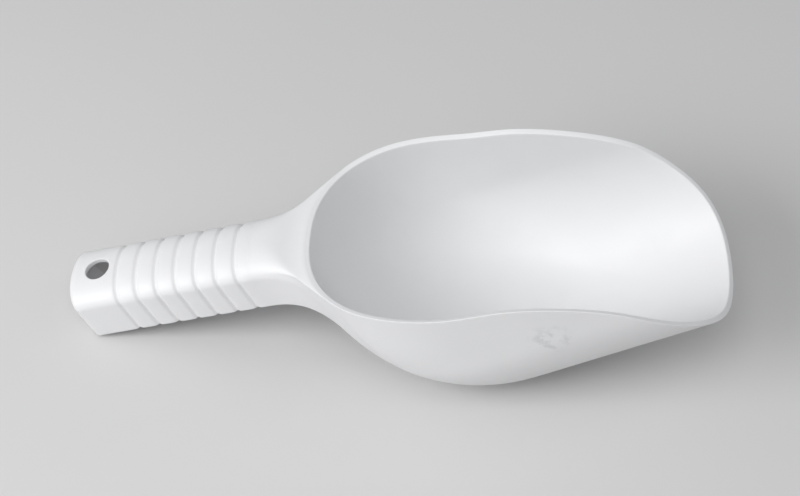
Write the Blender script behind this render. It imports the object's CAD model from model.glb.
import math

import bpy
import numpy as np
from mathutils import Matrix, Vector


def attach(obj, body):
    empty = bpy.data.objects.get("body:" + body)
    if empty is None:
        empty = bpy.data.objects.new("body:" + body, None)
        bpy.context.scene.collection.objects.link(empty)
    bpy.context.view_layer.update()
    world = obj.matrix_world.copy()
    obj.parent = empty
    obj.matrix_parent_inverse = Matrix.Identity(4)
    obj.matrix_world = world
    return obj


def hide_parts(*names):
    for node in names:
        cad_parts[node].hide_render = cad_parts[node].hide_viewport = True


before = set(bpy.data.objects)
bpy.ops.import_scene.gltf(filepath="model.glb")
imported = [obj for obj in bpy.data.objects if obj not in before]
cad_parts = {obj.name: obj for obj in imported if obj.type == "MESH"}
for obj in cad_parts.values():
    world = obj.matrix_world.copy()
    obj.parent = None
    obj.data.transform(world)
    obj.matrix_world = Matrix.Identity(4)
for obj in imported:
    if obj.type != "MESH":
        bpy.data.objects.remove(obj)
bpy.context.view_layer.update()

TILT = math.radians(28.1976)
FRONT, BACK = 155.906, -173.175  # ends along x once tipped, before centring
HEEL = 37.2794                   # height taken off so that the heel meets the floor
WALL = 2.6
SHARP = math.radians(50)         # faces that turn more than this keep a hard edge


# ---------------------------------------------------------------- helpers
def stand(points, direction=False):
    """Drawing frame to the standing frame, both in mm; a direction is only turned."""
    points = np.asarray(points, float)
    cos, sin = math.cos(TILT), math.sin(TILT)
    x = points[..., 0] * cos - points[..., 2] * sin
    z = points[..., 0] * sin + points[..., 2] * cos
    if not direction:
        x = x - (FRONT + BACK) / 2
        z = z - HEEL
    return np.stack([x, points[..., 1], z], -1)


def length(vectors):
    return np.linalg.norm(vectors, axis=-1)


def unit(vectors):
    vectors = np.asarray(vectors, float)
    return vectors / np.maximum(length(vectors)[..., None], 1e-12)


def smooth(value):
    value = np.clip(value, 0, 1)
    return value * value * (3 - 2 * value)


def flip(points):
    return points * np.array([1.0, -1.0, 1.0])


def bend(start, corner, end, part):
    """Quadratic Bezier curve."""
    return (1 - part) ** 2 * start + 2 * part * (1 - part) * corner + part * part * end


def curve(start, lead, trail, end, part):
    """Cubic Bezier curve."""
    part = part[..., None]
    return ((1 - part) ** 3 * start + 3 * part * (1 - part) ** 2 * lead
            + 3 * part * part * (1 - part) * trail + part**3 * end)


def bisect(low, high, steps, beyond):
    """Closes in on the place where beyond() turns from true to false."""
    for _ in range(steps):
        middle = (low + high) / 2
        past = beyond(middle)
        low, high = np.where(past, middle, low), np.where(past, high, middle)
    return (low + high) / 2


# ---------------------------------------------------------------- meshes
def make_piece(name, points, faces):
    """Closed mesh from points in the drawing frame; also returns {point number: vertex number}."""
    points = np.asarray(points, float)
    used = sorted({i for face in faces for i in face})
    vertex_of = {old: k for k, old in enumerate(used)}
    faces = [[vertex_of[i] for i in face] for face in faces]
    places = stand(points[used]) / 1000
    volume = 0.0
    for face in faces:
        for k in range(1, len(face) - 1):
            second, third = places[face[k]], places[face[k + 1]]
            volume += float(np.dot(places[face[0]], np.cross(second, third)))
    if volume < 0:
        faces = [face[::-1] for face in faces]
    mesh = bpy.data.meshes.new(name)
    mesh.from_pydata(places.tolist(), [], faces)
    mesh.update()
    mesh.validate()
    mesh.polygons.foreach_set("use_smooth", [True] * len(mesh.polygons))
    mark_sharp(mesh)
    piece = bpy.data.objects.new(name, mesh)
    bpy.context.scene.collection.objects.link(piece)
    return piece, vertex_of


def mark_sharp(mesh):
    sharp = mesh.attributes.new("sharp_edge", "BOOLEAN", "EDGE")
    beside = {}
    for poly in mesh.polygons:
        for key in poly.edge_keys:
            beside.setdefault(key, []).append(poly.index)
    normals = np.array([poly.normal for poly in mesh.polygons])
    flags = []
    for edge in mesh.edges:
        pair = beside.get(tuple(sorted(edge.vertices)), [])
        flags.append(len(pair) == 2
                     and float(np.dot(normals[pair[0]], normals[pair[1]])) < math.cos(SHARP))
    sharp.data.foreach_set("value", flags)


def set_normals(piece, wanted, skip):
    """Gives corners the normals in {vertex: normal}, except in polygons that skip() names."""
    mesh = piece.data
    mesh.update()
    normals = np.zeros(len(mesh.loops) * 3, np.float32)
    mesh.corner_normals.foreach_get("vector", normals)
    normals = normals.reshape(-1, 3)
    for poly in mesh.polygons:
        facing = np.array(poly.normal)
        for i in poly.loop_indices:
            normal = wanted.get(mesh.loops[i].vertex_index)
            if normal is not None and float(np.dot(normal, facing)) > 0.8 and not skip(poly):
                normals[i] = normal
    mesh.normals_split_custom_set([tuple(normal) for normal in normals])


def mirrored_grid(grid, spine_end, closed_end):
    """Point list and vertex(side, column, row) for a grid whose first and last rows are the spine.

    Both sides share the spine, whose columns beyond spine_end are one point, and the last
    column too if closed_end.
    """
    points, ids = [], {}
    last_col, last_row = grid.shape[0] - 1, grid.shape[1] - 1

    def vertex(side, col, row):
        if row in (0, last_row):
            side, col = 0, min(col, spine_end)
        elif closed_end and col == last_col:
            side = 0
        key = (side, col, row)
        if key not in ids:
            ids[key] = len(points)
            points.append(grid[col, row] * np.array([1, side, 1]))
        return ids[key]

    return points, vertex


def grid_faces(vertex, n_col, n_row, omit, end_cap):
    """Both sides of a mirrored grid, capped at its first column and, if asked, at its last."""
    faces = []
    end = n_col - 1
    for side in (1, -1):
        quads = []
        for c in range(n_col - 1):
            for r in range(n_row - 1):
                if not omit(c, r):
                    quads.append([vertex(side, c, r), vertex(side, c, r + 1),
                                  vertex(side, c + 1, r + 1), vertex(side, c + 1, r)])
        for r in range(n_row // 2 - 1):
            quads.append([vertex(side, 0, r), vertex(side, 0, n_row - 1 - r),
                          vertex(side, 0, n_row - 2 - r), vertex(side, 0, r + 1)])
            if end_cap:
                quads.append([vertex(side, end, r), vertex(side, end, r + 1),
                              vertex(side, end, n_row - 2 - r), vertex(side, end, n_row - 1 - r)])
        for quad in quads:
            corners = [i for k, i in enumerate(quad) if i != quad[k - 1]]
            if len(corners) > 2:
                faces.append(corners if side > 0 else corners[::-1])
    return faces


# ---------------------------------------------------------------- bowl surface
BOWL_LEN = 176.9
HALF_W = 61.9                           # of the trough at the rear
TAPER = 4.63                            # half-width lost per 100 mm forward
ROUND = 56.7                            # height of the trough's rounded bottom
DRAFT = math.tan(math.radians(1.0))
# The rear closes with a superellipse in plan, from the rear wall to where the trough is full.
CLOSE_MIN, CLOSE_RUN = 78.4, 30.0       # least x of the full trough; its least run from the rear
CLOSE_POWER = 2.35
BULGE, BULGE_Z, BULGE_SPREAD = 0.35, 68, 26  # the power is raised around this height
HEEL_LEN, HEEL_POWER = 157.35, 2.82     # superellipse of the rear wall in side view
SLOPE = 0.48                            # how far the rim's face falls inwards, per mm of wall
EYE = np.array([95.0, 0.0, 60.0])       # point in the bowl from which its surface is swept
RIM_SPACING = 1.6                       # power that sets how points crowd along the rim
# Rim outline: fraction of the bowl's length, height.
RIM = np.array([
    (0, 114.1), (0.2, 104.4), (0.4, 92.4), (0.55, 85.6),
    (0.7, 73.0), (0.82, 57.7), (0.92, 35.6), (1.0, 0.0),
])
RIM_PLACE = 1 - np.sqrt(1 - RIM[:, 0])
RIM_Z = RIM[:, 1]
RIM_STEP = np.diff(RIM_PLACE)
RIM_RISE = np.diff(RIM_Z) / RIM_STEP
RIM_TANGENT = np.concatenate([
    [RIM_RISE[0]],
    (RIM_STEP[1:] * RIM_RISE[:-1] + RIM_STEP[:-1] * RIM_RISE[1:]) / (RIM_STEP[1:] + RIM_STEP[:-1]),
    [RIM_RISE[-1]],
])


def rim_z(x):
    """Cubic Hermite curve through the rim outline."""
    place = 1 - np.sqrt(np.clip(1 - x / BOWL_LEN, 0, None))
    i = np.clip(np.searchsorted(RIM_PLACE, place, side="right") - 1, 0, len(RIM_STEP) - 1)
    step = RIM_STEP[i]
    part = (place - RIM_PLACE[i]) / step
    return ((2 * part**3 - 3 * part**2 + 1) * RIM_Z[i]
            + (part**3 - 2 * part**2 + part) * step * RIM_TANGENT[i]
            + (3 * part**2 - 2 * part**3) * RIM_Z[i + 1]
            + (part**3 - part**2) * step * RIM_TANGENT[i + 1])


def rear_x(z):
    depth = np.clip(1 - z / RIM_Z[0], 0, 1)
    return HEEL_LEN * (1 - np.power(1 - np.power(depth, HEEL_POWER), 1 / HEEL_POWER))


def full_x(z):
    """Where the trough reaches its full width: a soft maximum of the two limits."""
    return np.power(CLOSE_MIN**6 + np.power(rear_x(z) + CLOSE_RUN, 6), 1 / 6)


def half_width(x, z):
    above = np.maximum(z, 0)
    depth = np.clip(1 - above / ROUND, 0, 1)
    trough = (HALF_W - TAPER * x / 100) * np.sqrt(1 - depth * depth) + above * DRAFT
    rear, full = rear_x(z), full_x(z)
    closed = np.clip((full - x) / (full - rear), 0, 1)
    power = CLOSE_POWER + BULGE * np.exp(-(((z - BULGE_Z) / BULGE_SPREAD) ** 2))
    return trough * np.power(np.clip(1 - np.power(closed, power), 0, 1), 1 / power)


def wall_x(y, z):
    """Place along x of the rear wall's outer surface."""
    y, z = np.broadcast_arrays(np.abs(np.asarray(y, float)), np.asarray(z, float))
    return bisect(rear_x(z), full_x(z), 44, lambda x: half_width(x, z) < y)


def rim_point(around):
    """Outer rim edge; around runs from 0 at the rear to 1 at the lip."""
    around = np.asarray(around, float)
    x = BOWL_LEN * (1 - np.cos(np.pi - np.pi * np.power(1 - around, RIM_SPACING))) / 2
    z = rim_z(x)
    y = np.where((around <= 0) | (around >= 1), 0.0, half_width(x, z))
    return np.stack([x, y, z], -1)


def angles(sight):
    """Azimuth, and polar angle from straight down."""
    return (np.arctan2(sight[..., 1], sight[..., 0]),
            np.arctan2(np.hypot(sight[..., 0], sight[..., 1]), -sight[..., 2]))


def aim(around):
    """Angles of the rim, seen from the eye."""
    azimuth, polar = angles(rim_point(around) - EYE)
    return np.where(around <= 0, np.pi, np.where(around >= 1, 0.0, azimuth)), polar


def outer(around, level):
    """Outer surface, mirrored beyond both ends of around; level is 0 at the bottom, 1 at the rim."""
    around, level = np.broadcast_arrays(np.asarray(around, float), np.asarray(level, float))
    sign = np.where((around < 0) | (around > 1), -1.0, 1.0)
    azimuth, rim_polar = aim(np.where(around < 0, -around,
                                      np.where(around > 1, 2 - around, around)))
    polar = rim_polar * level
    ray = np.stack([np.sin(polar) * np.cos(azimuth), np.sin(polar) * np.sin(azimuth),
                    -np.cos(polar)], -1)

    def inside(reach):
        point = EYE + reach[..., None] * ray
        x, y, z = point[..., 0], point[..., 1], point[..., 2]
        return (z > 0) & (np.abs(y) < half_width(x, z))

    reach = bisect(np.zeros(around.shape), np.full(around.shape, 260.0), 42, inside)
    points = EYE + reach[..., None] * ray
    points[..., 1] *= sign
    return points


def surface_frame(around, level):
    """Point, outward normal and direction up the wall."""
    step = 2e-3
    point = outer(around, level)
    upward = unit(point - outer(around, level - step))
    onward = outer(around + step, level) - outer(around - step, level)
    return point, unit(np.cross(upward, onward)), upward


def rim_frame(around):
    """Outer rim edge, inner rim edge, and mm per level just below the rim."""
    around = np.asarray(around, float)
    top = np.ones(around.shape)
    step = 4e-3
    _, normal, upward = surface_frame(around, top)
    outside = rim_point(around)
    per_level = length(outer(around, top) - outer(around, top - step)) / step
    inside = outside - WALL * normal - SLOPE * WALL * upward
    inside[..., 1] = np.where((around <= 0) | (around >= 1), 0.0, inside[..., 1])
    return outside, inside, per_level


def edge_size(around):
    """Size of the rounding on the rim's outer edge; larger where the neck covers it."""
    return 0.55 + 1.05 * smooth((0.128 - around) / 0.03)


def skin(around, across):
    """The rounded rim: across is in mm, below zero down the outer wall, above it over the rim."""
    around, across = np.broadcast_arrays(np.asarray(around, float), np.asarray(across, float))
    outside, inside, per_level = rim_frame(around)
    size = edge_size(around)
    inward = unit(inside - outside)
    wall = outer(around, 1 + np.minimum(across, -size) / per_level)
    face = outside + np.maximum(across, size)[..., None] * inward
    part = np.clip((across + size) / (2 * size), 0, 1)[..., None]
    rounding = bend(outer(around, 1 - size / per_level), outside,
                    outside + size[..., None] * inward, part)
    return np.where((across < -size)[..., None], wall,
                    np.where((across > size)[..., None], face, rounding))


def skin_normal(around, across):
    step, turn = 0.06, 1.5e-3
    over = skin(around, across + step) - skin(around, across - step)
    after, before = skin(around + turn, across), skin(np.abs(around - turn), across)
    before = np.where((around < turn)[..., None], flip(before), before)
    return unit(np.cross(over, after - before))


# ---------------------------------------------------------------- bowl
BOWL_HALF, BOWL_ROWS = 160, 60   # segments around one half; rows up the wall
INNER_ROUND = 0.55               # rounding of the rim's inner edge


def bowl_rings():
    """Half rings from the bottom's outside, over the rim, to the bottom's inside."""
    around = np.arange(BOWL_HALF + 1) / BOWL_HALF
    outside, inside, per_level = rim_frame(around)
    size = edge_size(around)
    inward = unit(inside - outside)

    def levels(rounding):
        end = 1 - rounding / per_level
        main = np.linspace(0, 1, BOWL_ROWS)[None, :] * (end - 1.3 / per_level)[:, None]
        return np.concatenate([main, (end - 0.35 / per_level)[:, None], end[:, None]], 1)

    out_levels, in_levels = levels(size), levels(np.full(around.shape, INNER_ROUND))
    columns = np.repeat(around[:, None], out_levels.shape[1], 1)
    out_wall = outer(columns, out_levels)
    point, normal, upward = surface_frame(columns, in_levels)
    in_wall = point - WALL * normal - (SLOPE * WALL * in_levels**4)[..., None] * upward
    in_wall[:, 0] = out_wall[:, 0] + np.array([0, 0, WALL])
    for wall in (out_wall, in_wall):
        wall[[0, -1], :, 1] = 0

    face_start, face_end = outside + size[:, None] * inward, inside - INNER_ROUND * inward
    rings = [out_wall[:, j] for j in range(out_wall.shape[1])]
    rings += [bend(out_wall[:, -1], outside, face_start, k / 6) for k in range(1, 6)]
    rings += [face_start + (face_end - face_start) * part for part in (0, 0.18, 0.5, 0.82)]
    rings += [face_end] + [bend(face_end, inside, in_wall[:, -1], k / 4) for k in range(1, 4)]
    return rings + [in_wall[:, j] for j in range(in_wall.shape[1] - 1, -1, -1)]


def build_bowl():
    rings = bowl_rings()
    last, n_all = len(rings) - 1, 2 * BOWL_HALF

    def stride(j):
        """The rings thin out towards the poles."""
        k = min(j, last - j)
        return 16 if k == 1 else 8 if k == 2 else 4 if k <= 4 else 2 if k <= 9 else 1

    points, ids = [], []
    for j, half in enumerate(rings):
        if j in (0, last):
            ids.append({"pole": len(points)})
            points.append(half[0])
            continue
        full = np.concatenate([half, flip(half[BOWL_HALF - 1:0:-1])])
        ring = {}
        for k in range(0, n_all, stride(j)):
            ring[k] = len(points)
            points.append(full[k])
        ids.append(ring)

    faces = []
    for j in range(last):
        near, far = ids[j], ids[j + 1]
        near_stride, far_stride = stride(j), stride(j + 1)
        if "pole" in near:
            for k in far:
                faces.append([near["pole"], far[k], far[(k + far_stride) % n_all]])
        elif "pole" in far:
            for k in near:
                faces.append([far["pole"], near[(k + near_stride) % n_all], near[k]])
        elif near_stride == far_stride:
            for k in near:
                after = (k + near_stride) % n_all
                faces.append([near[k], far[k], far[after], near[after]])
        else:
            swap = near_stride < far_stride
            coarse, fine = (far, near) if swap else (near, far)
            for k in coarse:
                after = (k + max(near_stride, far_stride)) % n_all
                middle = (k + min(near_stride, far_stride)) % n_all
                for face in ([coarse[k], fine[k], fine[middle]],
                             [coarse[k], fine[middle], coarse[after]],
                             [coarse[after], fine[middle], fine[after]]):
                    faces.append(face[::-1] if swap else face)
    return make_piece("scoop_bowl", points, faces)[0]


# ---------------------------------------------------------------- handle section
# The handle's own frame: dist back along its crown line, y across, height square to that line.
RISE = math.radians(9.44)
CROWN_Z = 118.41                       # of the crown line at the rear rim
HANDLE_LEN, HANDLE_W, HANDLE_H = 126.4, 37.94, 28.9
DROP, DROP_LOSS = 9.1, 0.3             # crown to shoulder, and its loss per mm of inset
CROWN_POWER = 2.22
END_ROUND, END_POWER = 6.05, 2.0
HANDLE_DRAFT = math.tan(math.radians(0.1))
LEAN = math.tan(math.radians(5.8))     # lean of the sections along the handle
GROOVES, PITCH, FIRST = 7, 10.62, 34.41
GROOVE_W, GROOVE_D = 3.2, 0.65
RIB_SWELL = 0.3
NECK_START = 27.0                      # dist where neck and handle meet
END_DIST = HANDLE_LEN - END_ROUND
EDGE_ROUND, EDGE_HOLD = 0.62, 0.4      # lower edge's rounding, and the extra row beyond it
TO_BOWL = np.array([math.cos(RISE), 0.0, -math.sin(RISE)])
# Stations round half a section: 0 spine, 1 shoulder, 2 lower edge.
SECTION = np.concatenate([np.linspace(0, 0.6, 21), np.linspace(0.6, 1, 27)[1:],
                          np.linspace(1, 2, 15)[1:]])


def on_handle(dist, y, height):
    dist, y, height = np.broadcast_arrays(*[np.asarray(v, float) for v in (dist, y, height)])
    return np.stack([-dist * math.cos(RISE) + height * math.sin(RISE), y,
                     CROWN_Z + dist * math.sin(RISE) + height * math.cos(RISE)], -1)


def sunk(dist):
    """Depth below the plain crown: a rounded valley at each groove, and ribs that swell between."""
    centres = FIRST + PITCH * np.arange(GROOVES)
    off = np.min(np.abs(np.asarray(dist, float)[..., None] - centres), -1)
    part = off / (GROOVE_W / 2)
    valley = GROOVE_D * np.power(np.clip(1 - part * part, 0, None), 1.5)
    return valley + RIB_SWELL * np.clip(1 - off / (PITCH / 2), 0, 1) ** 2


def section_size(dist, inset):
    """Half-width, crown-to-shoulder drop and top height; only the outside is grooved."""
    groove = sunk(dist) if inset == 0 else 0.0
    return HANDLE_W / 2 - inset - groove, DROP - DROP_LOSS * inset, -inset - groove


def crown(dist, y, inset):
    """Height of the crown over (dist, y)."""
    half, drop, top = section_size(dist, inset)
    rho = np.clip(np.abs(y) / half, 0, 1)
    return top - drop * (1 - np.power(1 - np.power(rho, CROWN_POWER), 1 / CROWN_POWER))


def channel(section, dist, corner, inset):
    """Channel surface; corner is 90 degrees on the straight sides, falling to 0 at the end."""
    section, dist, corner = np.broadcast_arrays(
        *[np.asarray(v, float) for v in (section, dist, corner)])
    half, drop, top = section_size(dist, inset)
    angle = np.pi / 2 * np.clip(section, 0, 1)
    rho = np.power(np.sin(angle), 2 / CROWN_POWER)
    shoulder = top - drop
    arch = 1 - np.power(np.clip(np.cos(angle), 0, None), 2 / CROWN_POWER)
    height = np.where(section <= 1, top - drop * arch,
                      shoulder + np.clip(section - 1, 0, 1) * (-HANDLE_H - shoulder))
    flare = np.where(section <= 1, 0.0, (shoulder - height) * HANDLE_DRAFT)
    turn = np.radians(corner)
    back = np.where(corner >= 90, 0.0,
                    np.power(np.clip(np.cos(turn), 0, None), 2 / END_POWER))
    aside = np.where(corner >= 90, 1.0, np.where(
        corner <= 0, 0.0, np.power(np.clip(np.sin(turn), 0, None), 2 / END_POWER)))
    return on_handle(dist + ((END_ROUND - inset) * rho + flare) * back + height * LEAN,
                     (half * rho + flare) * aside, height)


def closed_loops(outside, inside):
    """Joins each column's outer and inner rows at the lower edge, which is rounded."""
    out_end, in_end = outside[:, -1], inside[:, -1]
    size = np.minimum(EDGE_ROUND, 0.4 * length(in_end - out_end))[:, None]
    hold = EDGE_HOLD * np.minimum(1, size / EDGE_ROUND)
    out_up, in_up = unit(outside[:, -2] - out_end), unit(inside[:, -2] - in_end)
    across = unit(in_end - out_end)
    out_top, out_low = out_end + size * out_up, out_end + size * across
    in_low, in_top = in_end - size * across, in_end + size * in_up
    edge = [out_top + hold * out_up, out_top]
    edge += [bend(out_top, out_end, out_low, part) for part in (0.25, 0.5, 0.75)]
    edge += [out_low, in_low]
    edge += [bend(in_low, in_end, in_top, part) for part in (0.25, 0.5, 0.75)]
    edge += [in_top, in_top + hold * in_up]
    return np.concatenate([outside[:, :-1], np.stack(edge, 1), inside[:, :-1][:, ::-1]], 1)


def joint_normals(loop, vertex, vertex_of):
    """Wanted normals where neck and handle meet, from the section they share."""
    full = np.concatenate([flip(loop[1:2]), loop, flip(loop[-2:-1])])
    normals = stand(unit(np.cross(full[2:] - full[:-2], TO_BOWL)), True)
    wanted = {}
    for side in (1, -1):
        for r in range(len(loop)):
            wanted[vertex_of[vertex(side, 0, r)]] = normals[r] if side > 0 else flip(normals[r])
    return wanted


# ---------------------------------------------------------------- handle
HOLE_D, HOLE_AT = 12.84, 109.1
HOLE_OUT_ROUND, HOLE_IN_ROUND = 0.5, 0.35
PATCH_START, PATCH_ROWS = 101.2, 10    # the hole's patch: first dist, and rows each side of spine
END_FAN = 30                           # columns round half of the handle's end


def handle_stations():
    half = GROOVE_W / 2
    parts = [np.linspace(NECK_START, FIRST - half, 9)[:-1]]
    for i in range(GROOVES):
        centre = FIRST + i * PITCH
        parts.append(centre + np.linspace(-1, 1, 13) * GROOVE_W / 2)
        if i < GROOVES - 1:
            parts.append(np.linspace(centre + half, centre + PITCH - half, 9)[1:-1])
    last = FIRST + (GROOVES - 1) * PITCH + half
    parts.append(np.linspace(last, PATCH_START, 4)[1:])
    parts.append(np.linspace(PATCH_START, END_DIST, 17)[1:])
    return np.concatenate(parts)


def add_hole(points, faces, vertex, stations, first, n_row):
    """Fills the patch left open in both faces, up to the hole, and joins them by its wall."""
    last, rows = len(stations) - 1, PATCH_ROWS
    path = [(1, first, r) for r in range(rows + 1)]
    path += [(1, c, rows) for c in range(first + 1, last + 1)]
    path += [(1, last, r) for r in range(rows - 1, -1, -1)]
    path += [(-1, last, r) for r in range(1, rows + 1)]
    path += [(-1, c, rows) for c in range(last - 1, first - 1, -1)]
    path += [(-1, first, r) for r in range(rows - 1, 0, -1)]

    def plan(side, col, row, inset):
        rho = math.sin(np.pi / 2 * min(SECTION[row], 1)) ** (2 / CROWN_POWER)
        y = section_size(stations[col], inset)[0] * rho
        return stations[col] + float(crown(stations[col], y, inset)) * LEAN, side * y

    def surface(spots, inset):
        return on_handle(spots[:, 0], spots[:, 1], crown(spots[:, 0], spots[:, 1], inset))

    def on_wall(height):
        return on_handle(rim[:, 0], rim[:, 1], height)

    out_border = np.array([plan(*spot, 0) for spot in path])
    in_border = np.array([plan(*spot, WALL) for spot in path])
    angle = np.arctan2(out_border[:, 1], out_border[:, 0] - HOLE_AT)
    circle = np.stack([np.cos(angle), np.sin(angle)], -1)
    centre = np.array([HOLE_AT, 0.0])
    rim = centre + circle * (HOLE_D / 2)
    out_edge = centre + circle * (HOLE_D / 2 + HOLE_OUT_ROUND)
    in_edge = centre + circle * (HOLE_D / 2 + HOLE_IN_ROUND)
    out_height, in_height = crown(rim[:, 0], rim[:, 1], 0), crown(rim[:, 0], rim[:, 1], WALL)
    wall_top, wall_foot = out_height - HOLE_OUT_ROUND, in_height + HOLE_IN_ROUND

    rings = [surface(out_border + (out_edge - out_border) * part, 0)
             for part in (0.3, 0.6, 0.85, 1.0)]
    rings += [bend(surface(out_edge, 0), on_wall(out_height), on_wall(wall_top), part)
              for part in (0.2, 0.4, 0.6, 0.8, 1.0)]
    rings.append(on_wall(wall_top * 0.5 + wall_foot * 0.5))
    rings += [bend(on_wall(wall_foot), on_wall(in_height), surface(in_edge, WALL), part)
              for part in (0.0, 0.33, 0.66, 1.0)]
    rings += [surface(in_border + (in_edge - in_border) * part, WALL) for part in (0.75, 0.4)]

    ids = [[vertex(*spot) for spot in path]]
    for ring in rings:
        ids.append(list(range(len(points), len(points) + len(ring))))
        points.extend(list(ring))
    ids.append([vertex(side, col, n_row - 1 - row) for side, col, row in path])
    for near, far in zip(ids, ids[1:]):
        for k in range(len(path)):
            after = (k + 1) % len(path)
            faces.append([near[k], near[after], far[after], far[k]])


def build_handle():
    stations = handle_stations()
    n_straight = len(stations)
    dist = np.concatenate([stations, np.full(END_FAN, END_DIST)])[:, None]
    corner = np.concatenate([np.full(n_straight, 90.0),
                             90 * (1 - np.arange(1, END_FAN + 1) / END_FAN)])[:, None]
    loops = closed_loops(channel(SECTION[None], dist, corner, 0),
                         channel(SECTION[None], dist, corner, WALL))
    n_col, n_row = loops.shape[:2]
    points, vertex = mirrored_grid(loops, n_straight - 1, closed_end=True)
    first = int(np.argmin(np.abs(stations - PATCH_START)))

    def in_patch(col, row):
        return (first <= col < n_straight - 1
                and (row < PATCH_ROWS or row >= n_row - 1 - PATCH_ROWS))

    faces = grid_faces(vertex, n_col, n_row, in_patch, end_cap=False)
    add_hole(points, faces, vertex, stations, first, n_row)
    piece, vertex_of = make_piece("scoop_handle", points, faces)
    axis = stand(TO_BOWL, True)
    set_normals(piece, joint_normals(loops[0], vertex, vertex_of),
                lambda poly: abs(float(np.dot(np.array(poly.normal), axis))) > 0.9)
    return piece


# ---------------------------------------------------------------- neck
# Rows run from 0 at the spine. Up to RIM_ROWS they land on the rim, beyond it down the wall.
RIM_ROWS, SHOULDER_ROW, LAST_ROW = 7.0, 9, 12.0
CORNER = 0.105                   # around, where the landing leaves the rim
BEND_Y, BEND_Z = 41.5, 88        # control point of the landing down the wall
LOW_Y, LOW_Z = 47.0, 62.0        # its lowest point
RUN_OUT = 8.0                    # how far the wall rows run on along the bowl
TAIL = 2.2                       # length of the last bend onto the bowl
MAIN_STEPS, TAIL_STEPS = 46, 9


def landing(rows):
    """Where each row meets the bowl, and low: 0 at the corner to 1 at the lowest point."""
    low = np.clip((rows - RIM_ROWS) / (LAST_ROW - RIM_ROWS), 0, 1)
    corner = rim_point(CORNER)
    y = bend(corner[1], BEND_Y, LOW_Y, low)
    z = bend(corner[2], BEND_Z, LOW_Z, low)
    on_wall = np.stack([wall_x(y, z), y, z], -1)
    on_rim = rim_point(CORNER * np.minimum(rows, RIM_ROWS) / RIM_ROWS)
    return np.where((rows <= RIM_ROWS)[:, None], on_rim, on_wall), low


def slant(low):
    """Downward part of the direction in which the wall rows run on."""
    return 0.45 * np.clip(1.3 * low, 0, 1)


def arrival(rows, land, low):
    """Direction of each row where it meets the bowl."""
    fan = np.radians(40 * np.clip(rows / RIM_ROWS, 0, 1))
    over = unit(np.stack([np.cos(fan), np.sin(fan), np.full(rows.shape, -0.12)], -1))
    step = 0.4
    y, z = land[:, 1], land[:, 2]
    x_by_y = (wall_x(y + step, z) - wall_x(np.maximum(y - step, 0), z)) / (2 * step)
    x_by_drop = (wall_x(y, z - step) - wall_x(y, z + step)) / (2 * step)
    one, zero = np.ones(rows.shape), np.zeros(rows.shape)
    aside, down = unit(np.stack([x_by_y, one, zero], -1)), unit(np.stack([x_by_drop, zero, -one], -1))
    into = unit(np.cross(aside, down))
    into = np.where(into[:, :1] > 0, into, -into)
    about = unit(aside + slant(low)[:, None] * down + 0.25 * into)
    blend = smooth((rows - RIM_ROWS) / 2.5)[:, None]
    return unit(over * (1 - blend) + about * blend)


def run_out(rows, land, low):
    """Last control point and end of each row, the bowl's normal there, and its share of wall."""
    azimuth, polar = angles(land - EYE)
    table = np.linspace(0, 1, 3001)
    on_rim = rows <= RIM_ROWS
    around = np.where(on_rim, CORNER * np.minimum(rows, RIM_ROWS) / RIM_ROWS,
                      np.interp(-azimuth, -aim(table)[0], table))
    level = np.where(on_rim, 1.0, polar / aim(around)[1])
    across = (level - 1) * rim_frame(around)[2]
    wall_share = smooth((rows - 5.6) / 2.8)
    reach = RUN_OUT * wall_share
    step = 1e-3
    per_around = length(outer(around + step, level)
                        - outer(np.abs(around - step), level)) / (2 * step)
    per_around = np.where(around < 2 * step, 400.0, per_around)  # the mirror spoils it at the spine
    around = around + reach / per_around
    across = across - slant(low) * reach
    # the rows on the rim end 1.3 mm over its face
    keep = smooth((rows - 5.8) / 2.4)
    across = across * keep + 1.3 * (1 - keep)
    end = skin(around, across)
    share = wall_share[:, None]
    turn = rim_point(around) * (1 - share) + end * share
    return turn, end, skin_normal(around, across), wall_share


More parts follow.
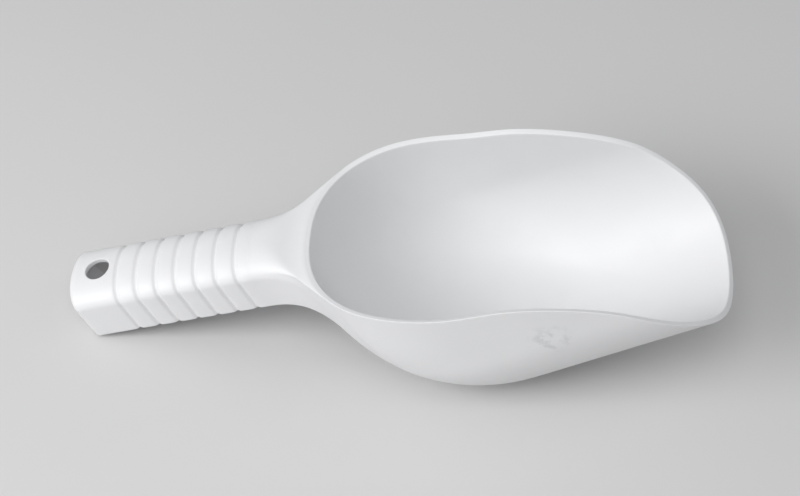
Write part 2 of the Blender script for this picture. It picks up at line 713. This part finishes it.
def neck_surfaces():
    """Outer and inner rows of the channel as [column, row], and the bowl's normals at its end."""
    rows = np.where(SECTION <= 1, SHOULDER_ROW * SECTION,
                    SHOULDER_ROW + (LAST_ROW - SHOULDER_ROW) * (SECTION - 1))
    part = (rows / LAST_ROW)[:, None]
    land, low = landing(rows)
    direction = arrival(rows, land, low)
    lead, approach = (14 + 18 * part) * TO_BOWL, land - (10 + 12 * part) * direction

    turn, end, end_normal, wall_share = run_out(rows, land, low)
    start = channel(SECTION, NECK_START, 90.0, 0)
    # on the wall, the approach lies in the bowl's tangent plane
    lift = wall_share * np.sum((approach - end) * end_normal, -1)
    trail = approach - lift[:, None] * end_normal
    main_end = 1 - TAIL / (3 * length(turn - trail))
    main_parts = np.linspace(0, 1, MAIN_STEPS + 1)[:, None] * main_end[None]
    tail_parts = np.arange(1, TAIL_STEPS + 1) / TAIL_STEPS
    main = curve(start, start + lead, trail, turn, main_parts)
    tail = bend(main[-1][None], turn[None], end[None], tail_parts[:, None, None])
    tail[-1] -= 0.06 * end_normal  # sinks the end just under the bowl's skin
    outside = np.concatenate([main, tail])

    # the inside ends against the bowl's wall, set in from the landing
    rim_part = np.clip(rows / RIM_ROWS, 0, 1)
    y = land[:, 1] - 2.2 * WALL * rim_part * rim_part
    z = (land[:, 2] - WALL * (1 - low) - 0.6 * WALL * rim_part * (1 - low)
         + 0.8 * WALL * low)
    in_end = np.stack([wall_x(y, z) + 0.15, y, z], -1)
    blend = smooth((rows - 4) / 4.5)
    aside = unit(np.stack([direction[:, 1], -direction[:, 0], np.zeros(rows.shape)], -1))
    into = unit(np.stack([blend * aside[:, 0], blend * aside[:, 1], -(1 - blend)], -1))
    in_start = channel(SECTION, NECK_START, 90.0, WALL)
    in_parts = np.concatenate([main_parts, main_end + (1 - main_end) * tail_parts[:, None]])
    inside = curve(in_start, in_start + lead, approach + WALL * into, in_end, in_parts)
    for surface in (outside, inside):
        surface[:, 0, 1] = 0
    return outside, inside, end_normal


def build_neck():
    outside, inside, end_normal = neck_surfaces()
    loops = closed_loops(outside, inside)
    n_col, n_row = loops.shape[:2]
    end = n_col - 1
    points, vertex = mirrored_grid(loops, end, closed_end=False)
    faces = grid_faces(vertex, n_col, n_row, lambda col, row: False, end_cap=True)
    piece, vertex_of = make_piece("scoop_neck", points, faces)
    wanted = joint_normals(loops[0], vertex, vertex_of)
    start = set(wanted)
    normals = stand(end_normal, True)
    for side in (1, -1):
        for r in range(len(SECTION) - 1):
            wanted[vertex_of[vertex(side, end, r)]] = normals[r] if side > 0 else flip(normals[r])
    set_normals(piece, wanted, lambda poly: all(v in start for v in poly.vertices))
    return piece


# ---------------------------------------------------------------- materials
class Shader:
    """A material with short ways to add nodes; values are sockets to link or plain numbers."""

    def __init__(self, name):
        self.material = bpy.data.materials.new(name)
        self.material.use_nodes = True
        self.tree = self.material.node_tree
        self.principled = self.tree.nodes["Principled BSDF"]
        self.coords = self.add("TexCoord").outputs["Object"]

    def put(self, node, inputs):
        for key, value in inputs.items():
            if isinstance(value, bpy.types.NodeSocket):
                self.tree.links.new(value, node.inputs[key])
            else:
                node.inputs[key].default_value = value

    def add(self, kind, inputs=None, **settings):
        node = self.tree.nodes.new("ShaderNode" + kind)
        for key, value in settings.items():
            setattr(node, key, value)
        self.put(node, inputs or {})
        return node

    def noise(self, scale, detail, rough=0.5, vector=None):
        return self.add("TexNoise", {"Scale": scale, "Detail": detail, "Roughness": rough,
                                     "Vector": vector or self.coords}).outputs["Fac"]

    def remap(self, value, between, to=(0.0, 1.0), kind="SMOOTHSTEP"):
        return self.add("MapRange", {
            "From Min": between[0], "From Max": between[1], "To Min": to[0], "To Max": to[1],
            "Value": value}, interpolation_type=kind).outputs["Result"]

    def maths(self, operation, first, second, clamp=False):
        return self.add("Math", {0: first, 1: second},
                        operation=operation, use_clamp=clamp).outputs[0]

    def mix(self, factor, first, second):
        """Colour mix; inputs 6 and 7 and output 2 are the node's colour sockets."""
        return self.add("Mix", {0: factor, 6: first, 7: second}, data_type="RGBA").outputs[2]

    def bump(self, height, strength, distance, under=None):
        inputs = {"Strength": strength, "Distance": distance, "Height": height}
        if under:
            inputs["Normal"] = under
        return self.add("Bump", inputs).outputs["Normal"]


SCUFF = (0.0758, -0.0579, 0.0645)  # centre of the rubbed spot, in metres


def white_plastic():
    sh = Shader("white_plastic")
    geometry = sh.add("NewGeometry")

    # slow cloudiness of the moulding, and a little handling grime in soft patches
    cloud = sh.remap(sh.noise(scale=14, detail=3), between=(0.35, 0.68))
    base = sh.mix(cloud, (0.775, 0.777, 0.787, 1), (0.795, 0.797, 0.803, 1))
    grime = sh.remap(sh.noise(scale=38, detail=6, rough=0.62), between=(0.6, 0.78), to=(0, 0.16))
    base = sh.mix(grime, base, (0.69, 0.69, 0.69, 1))

    # one rubbed spot, only on faces turned to -Y
    off = sh.add("VectorMath", {0: sh.coords, 1: SCUFF}, operation="DISTANCE")
    spot = sh.remap(off.outputs["Value"], between=(0.004, 0.014), to=(1, 0))
    blot = sh.remap(sh.noise(scale=210, detail=5, rough=0.6), between=(0.46, 0.66))
    facing = sh.add("SeparateXYZ", {0: geometry.outputs["Normal"]})
    turned = sh.remap(facing.outputs["Y"], between=(-0.35, -0.1), to=(1, 0))
    scuff = sh.maths("MULTIPLY", sh.maths("MULTIPLY", spot, turned), blot)
    base = sh.mix(sh.maths("MULTIPLY", scuff, 0.42), base, (0.5, 0.51, 0.53, 1))

    # rubbed edges: a touch lighter and rougher
    worn = sh.maths("MULTIPLY", sh.remap(geometry.outputs["Pointiness"], between=(0.53, 0.62)),
                    sh.remap(sh.noise(scale=90, detail=4), between=(0.35, 0.7), to=(0.2, 1)))
    base = sh.mix(sh.maths("MULTIPLY", worn, 0.35), base, (0.85, 0.85, 0.85, 1))

    # fine scratches: two stretched noises, in the roughness and the bump only
    def scratches(angle, scale):
        stretched = sh.add("Mapping", {"Rotation": (0.2, 0.35, angle), "Scale": (1.0, 26.0, 9.0),
                                       "Vector": sh.coords}).outputs["Vector"]
        noise = sh.noise(scale=scale, detail=3, rough=0.7, vector=stretched)
        return sh.remap(noise, between=(0.63, 0.7))

    scratch = sh.maths("MAXIMUM", scratches(angle=0.25, scale=34), scratches(angle=-0.6, scale=27))
    rough = sh.remap(sh.noise(scale=55, detail=5), between=(0.3, 0.7), to=(0.44, 0.54))
    # roughness added by each kind of wear
    for wear, amount, clamp in ((scratch, 0.07, False), (worn, 0.08, False), (scuff, 0.14, True)):
        rough = sh.maths("ADD", rough, sh.maths("MULTIPLY", wear, amount), clamp)

    # moulded micro-texture, slight flow waviness, scratches
    grain, wave = sh.noise(scale=2600, detail=2), sh.noise(scale=95, detail=2)
    normal = sh.bump(grain, strength=0.06, distance=0.0001)
    normal = sh.bump(wave, strength=0.05, distance=0.0012, under=normal)
    normal = sh.bump(scratch, strength=0.05, distance=0.0001, under=normal)
    sh.put(sh.principled, {
        "Base Color": base, "Roughness": rough, "Normal": normal, "IOR": 1.49,
        "Subsurface Weight": 0.12, "Subsurface Radius": (1.0, 0.95, 0.9),
        "Subsurface Scale": 0.003})
    return sh.material


def pale_board():
    sh = Shader("pale_board")
    cloud = sh.remap(sh.noise(scale=5, detail=2), between=(0.3, 0.7), kind="LINEAR")
    base = sh.mix(cloud, (0.65, 0.646, 0.648, 1), (0.665, 0.66, 0.661, 1))
    sh.put(sh.principled, {"Base Color": base, "Roughness": 0.75, "Specular IOR Level": 0.2})
    # seen from below, the floor is clear, for that view's light too, to show the underside
    geometry, path = sh.add("NewGeometry"), sh.add("LightPath")
    passed = sh.maths("GREATER_THAN", path.outputs["Transparent Depth"], 0.5)
    below = sh.maths("MAXIMUM", geometry.outputs["Backfacing"], passed)
    clear = sh.add("BsdfTransparent")
    pick = sh.add("MixShader", {0: below, 1: sh.principled.outputs[0], 2: clear.outputs[0]})
    sh.put(sh.tree.nodes["Material Output"], {"Surface": pick.outputs[0]})
    return sh.material


# ---------------------------------------------------------------- surroundings
FLOOR_HALF, FLOOR_Z = 4, -0.0002
LIGHT_FAR, LIGHT_SIZE = 1.7, 0.9
# A broad, soft wash, strongest from the handle's side.
# Name, degrees from -X towards -Y, elevation in degrees, power.
LIGHTS = [
    ("window", 30, 35, 16.6), ("window_near", 60, 35, 1.9),
    ("overhead", 90, 65, 6.4), ("return", 180, 50, 1.9),
]


def build_floor():
    mesh = bpy.data.meshes.new("floor")
    corners = [(x * FLOOR_HALF, y * FLOOR_HALF, 0) for x, y in ((-1, -1), (1, -1), (1, 1), (-1, 1))]
    mesh.from_pydata(corners, [], [(0, 1, 2, 3)])
    floor = bpy.data.objects.new("floor", mesh)
    floor.location.z = FLOOR_Z
    bpy.context.scene.collection.objects.link(floor)
    mesh.materials.append(pale_board())


def add_light(name, turn, lift, power):
    """Square area light, aimed at the origin."""
    turn, lift = math.radians(turn), math.radians(lift)
    light = bpy.data.lights.new(name, "AREA")
    light.shape = "RECTANGLE"
    light.size = light.size_y = LIGHT_SIZE
    light.energy = power
    lamp = bpy.data.objects.new(name, light)
    lamp.location = (-LIGHT_FAR * math.cos(turn) * math.cos(lift),
                     -LIGHT_FAR * math.sin(turn) * math.cos(lift), LIGHT_FAR * math.sin(lift))
    lamp.rotation_euler = Vector(lamp.location).to_track_quat("Z", "Y").to_euler()
    bpy.context.scene.collection.objects.link(lamp)


def build_world():
    world = bpy.data.worlds.new("studio")
    bpy.context.scene.world = world
    world.use_nodes = True
    background = world.node_tree.nodes["Background"]
    background.inputs["Color"].default_value = (0.97, 0.985, 1.0, 1)
    background.inputs["Strength"].default_value = 0.35


# ---------------------------------------------------------------- camera
# The camera is placed in a level frame of its own, turned and tipped from the drawing frame.
CAM_DOWN = math.radians(49.2861)       # how far it looks down
CAM_TURN = math.radians(-3.6762)
CAM_TILT = math.radians(28.5165)
CAM_DIST = 1106.6
CAM_ASIDE, CAM_RISE = -106.35606, 32.3721  # offsets along its own right and up
CAM_ORIGIN_X = 112.41                  # its frame's origin in the drawing frame
VIEW_WIDTH = 400.0                     # width seen at CAM_DIST
SENSOR = 36


def from_view(vector, direction=False):
    """Camera's level frame to the standing frame, in mm."""
    x = vector[0] * math.cos(CAM_TURN) + vector[1] * math.sin(CAM_TURN)
    y = -vector[0] * math.sin(CAM_TURN) + vector[1] * math.cos(CAM_TURN)
    cos, sin = math.cos(CAM_TILT), math.sin(CAM_TILT)
    point = np.array([x * cos + vector[2] * sin, y, -x * sin + vector[2] * cos])
    if direction:
        return unit(stand(point, True))
    return stand(point + np.array([CAM_ORIGIN_X, 0, 0]))


def build_camera():
    right = np.array([1.0, 0.0, 0.0])
    upward = np.array([0.0, math.sin(CAM_DOWN), math.cos(CAM_DOWN)])
    ahead = np.array([0.0, math.cos(CAM_DOWN), -math.sin(CAM_DOWN)])
    place = from_view(CAM_ASIDE * right + CAM_RISE * upward - CAM_DIST * ahead) / 1000
    columns = [from_view(axis, True) for axis in (right, upward, -ahead)] + [place]
    lens = bpy.data.cameras.new("camera")
    lens.sensor_width = SENSOR
    lens.lens = SENSOR * CAM_DIST / VIEW_WIDTH
    lens.clip_start, lens.clip_end = 0.01, 50
    camera = bpy.data.objects.new("camera", lens)
    bpy.context.scene.collection.objects.link(camera)
    camera.matrix_world = Matrix(np.column_stack(columns).tolist() + [[0, 0, 0, 1]])
    bpy.context.scene.camera = camera


# ---------------------------------------------------------------- assembly
bowl, neck, handle = build_bowl(), build_neck(), build_handle()
plastic = white_plastic()
for piece, node in ((bowl, "bowl"), (neck, "neck"), (handle, "handle")):
    piece.data.materials.append(plastic)
    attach(piece, "root")
    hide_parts(node)

build_floor()
for entry in LIGHTS:
    add_light(*entry)
build_world()
view = bpy.context.scene.view_settings
view.view_transform = "Standard"
view.look = "None"
view.exposure = 0.0
view.gamma = 1.0
build_camera()
